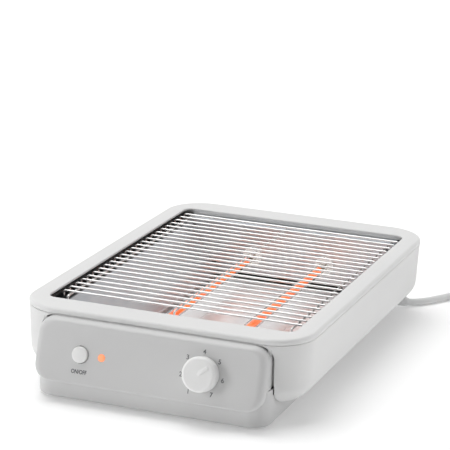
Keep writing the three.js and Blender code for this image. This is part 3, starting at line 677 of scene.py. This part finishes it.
# ------------------------------------------------------------------ heating tubes
TUBE_X, TUBE_Z = 37, 38.9
COIL_PITCH, COIL_HALF, COIL_R, PER_TURN = 1.5, 133, 2.6, 12
lead_profile = [(0, 133.4), (2.5, 133.4), (2.7, 134), (2.7, 145), (2.2, 146), (0.9, 146.4), (0.9, 161),
                (0, 161)]
for label, x in (("left", -TUBE_X), ("right", TUBE_X)):
    middle = (x, 0, TUBE_Z)
    glass_wall = [(4.6, -155.5), (4.6, 155.5), (3.75, 155.5), (3.75, -155.5)]
    tube_glass = build(f"quartz_tube_{label}_glass", *lathe(glass_wall, middle, (0, 1, 0), 40, True))
    finish(tube_glass, QUARTZ, "toaster", [f"quartz_tube_{label}"], 50)
    winding = []
    for i in range(int(2 * COIL_HALF / COIL_PITCH * PER_TURN) + 1):
        a = 2 * math.pi * i / PER_TURN
        winding.append((x + COIL_R * math.cos(a), -COIL_HALF + COIL_PITCH * i / PER_TURN,
                        TUBE_Z + COIL_R * math.sin(a)))
    hot = build(f"heating_coil_{label}_winding", *tube(winding, 0.6, 6))
    finish(hot, HOT_COIL, "toaster", [f"heating_coil_{label}"], 80)
    ends = []
    for side in (-1, 1):
        ends.append(lathe(lead_profile, middle, (0, side, 0), 20))
    leads = build(f"heating_coil_{label}_leads", *joined(ends))
    finish(leads, COIL_END, "toaster", (), 35)
    for end, side in (("front", -1), ("rear", 1)):
        cap_profile = [(4.85, 147.6), (5.2, 147.2), (8.6, 147.2), (9.1, 147.5), (9.2, 148), (9.2, 149.7),
                       (6.5, 149.7), (6.5, 157.6), (6.1, 158), (1.2, 158), (1.2, 155.8), (4.85, 155.8)]
        cap = build(f"ceramic_cap_{end}_{label}_body", *lathe(cap_profile, middle, (0, side, 0), 44, True))
        notches = []
        for k in range(3):
            a = math.radians(90 + 120 * k)
            cx, cz = x + 8.9 * math.cos(a), TUBE_Z + 8.9 * math.sin(a)
            ys = sorted((side * 146, side * 151))
            notches.append(box_shape(cx - 1, cx + 1, *ys, cz - 1, cz + 1))
        cut(cap, notches)
        finish(cap, CERAMIC_PAINTED_GLOW, "toaster", [f"ceramic_cap_{end}_{label}"], 40)

# Painted shade: thin black plates set just in front of the air slots in the front and rear walls, so the
# slots read as a wider dark band.
for label, y in (("rear", 149.3), ("front", -149.3)):
    slot_shade_rings = [[(x, y + off, z) for x, z in outline(57 - inset, 2.9 - inset, 2.4 - inset, 6, 0, 18.2)]
                 for inset, off in ((0.3, -0.4), (0, -0.1), (0, 0.4), (0.3, 0.5))]
    slot_shade = build(f"air_slot_shade_plate_{label}", *loft(slot_shade_rings))
    finish(slot_shade, BLACK, "toaster", (), 40)

# ------------------------------------------------------------------ toast grill
WIRE_R, WIRE_Z, BEND_X, WIRE_LOW = 0.95, 72.6, 110.7, 65
WIRE_COUNT, WIRE_FIRST, WIRE_PITCH = 24, -132.0, 12.28
ROD_X, ROD_FRONT, ROD_REAR, ROD_LOW, ROD_Z = (-103, -3, 103), -140.5, 157.4, 64, WIRE_Z - 1.85
BEND_R = 2.6


def bent(points, radius):
    """The corners of a line of points, rounded to a bend radius."""
    line = [Vector(points[0])]
    for before, corner, beyond in zip(points, points[1:], points[2:], strict=False):
        before, corner, beyond = Vector(before), Vector(corner), Vector(beyond)
        a, b = (before - corner).normalized(), (beyond - corner).normalized()
        start_at, end_at = corner + a * radius, corner + b * radius
        for k in range(7):
            t = k / 6
            line.append(start_at * (1 - t) ** 2 + corner * 2 * t * (1 - t) + end_at * t * t)
    line.append(Vector(points[-1]))
    return line


bars = []
for k in range(WIRE_COUNT):
    y = WIRE_FIRST + WIRE_PITCH * k
    wire = [(-BEND_X, y, WIRE_LOW), (-BEND_X, y, WIRE_Z), (BEND_X, y, WIRE_Z), (BEND_X, y, WIRE_LOW)]
    bars.append(tube(bent(wire, BEND_R), WIRE_R, 12))
for x in ROD_X:
    rod = [(x, ROD_FRONT, ROD_LOW), (x, ROD_FRONT, ROD_Z), (x, ROD_REAR, ROD_Z)]
    bars.append(tube(bent(rod, BEND_R), WIRE_R, 12))
grill = build("toast_grill_wires", *joined(bars))
finish(grill, CHROME, "toaster", ["toast_grill"], 50)

# ------------------------------------------------------------------ finishes of the CAD parts that stay
KEPT = {
    "reflector_left": REFLECTOR, "reflector_right": REFLECTOR, "reflector_rear": REFLECTOR,
    "reflector_front": REFLECTOR, "crumb_tray": TRAY, "tray_pull": GREY_SHELL,
    "tray_runner_left": ZINC, "tray_runner_right": ZINC, "heat_shield": ZINC, "terminal_block": CERAMIC_PAINTED_GLOW,
    "terminal_tab_left": BRASS, "terminal_tab_right": BRASS, "bus_bar_rear": BRASS,
    "grill_rail_left": SHADE_DARK_RAIL, "grill_rail_right": SHADE_DARK_RAIL, "timer_shaft": ZINC, "timer_body": BLACK,
    "switch_body": BLACK, "pilot_lamp": LAMP,
}
for name, material in KEPT.items():
    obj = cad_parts[name]
    if not obj.data.materials:
        obj.data.materials.append(material)
    for place in range(len(obj.data.materials)):
        obj.data.materials[place] = material

# ------------------------------------------------------------------ floor and light
floor_mesh = bpy.data.meshes.new("floor")
floor_mesh.from_pydata([(-6, -6, 0), (6, -6, 0), (6, 6, 0), (-6, 6, 0)], [], [(0, 1, 2, 3)])
floor = bpy.data.objects.new("floor", floor_mesh)
scene.collection.objects.link(floor)
floor_material, floor_tree, floor_shader, floor_place = start("pale_floor")
floor_drift = noise(floor_tree, floor_place, 2)
floor_tree.links.new(ramp(floor_tree, floor_drift, (0.93, 0.93, 0.93), (0.95, 0.95, 0.95)),
                     floor_shader.inputs["Base Color"])
floor_shader.inputs["Roughness"].default_value = 0.9
floor_shader.inputs["Emission Color"].default_value = (1, 1, 1, 1)
reach = node(floor_tree, "ShaderNodeVectorMath", operation="LENGTH")
floor_tree.links.new(floor_place, reach.inputs[0])
lift = node(floor_tree, "ShaderNodeMapRange", To_Min=0.16, To_Max=0.75)
lift.inputs["From Min"].default_value, lift.inputs["From Max"].default_value = 0.45, 2.2
floor_tree.links.new(reach.outputs["Value"], lift.inputs["Value"])
floor_tree.links.new(lift.outputs["Result"], floor_shader.inputs["Emission Strength"])
floor_mesh.materials.append(floor_material)

world = bpy.data.worlds.new("studio")
scene.world = world
world.use_nodes = True
around = node(world.node_tree, "ShaderNodeTexCoord").outputs["Generated"]
axes = node(world.node_tree, "ShaderNodeSeparateXYZ")
world.node_tree.links.new(around, axes.inputs["Vector"])
shade = node(world.node_tree, "ShaderNodeMapRange", To_Min=0.2, To_Max=1.8)
shade.inputs["From Min"].default_value, shade.inputs["From Max"].default_value = -0.9, 0.9
world.node_tree.links.new(axes.outputs["Y"], shade.inputs["Value"])
world.node_tree.links.new(shade.outputs["Result"], world.node_tree.nodes["Background"].inputs["Color"])
world.node_tree.nodes["Background"].inputs["Strength"].default_value = 0.35


def softbox(name, place, target, size, power):
    data = bpy.data.lights.new(name, "AREA")
    data.shape, data.size, data.size_y, data.energy = "RECTANGLE", size[0], size[1], power
    lamp = bpy.data.objects.new(name, data)
    scene.collection.objects.link(lamp)
    lamp.location = place
    lamp.rotation_mode = "QUATERNION"
    lamp.rotation_quaternion = (Vector(target) - Vector(place)).to_track_quat("-Z", "Y")


softbox("key", (-0.7, 0.3, 2.6), (0, 0, 0), (2.0, 2.0), 47)
softbox("fill_left", (-1.8, -1.9, 0.9), (0, 0, 0.05), (1.2, 1.0), 20)
softbox("fill_right", (2.2, 1.0, 0.8), (0, 0, 0.05), (1.2, 1.0), 10)
scene.view_settings.view_transform = "Standard"
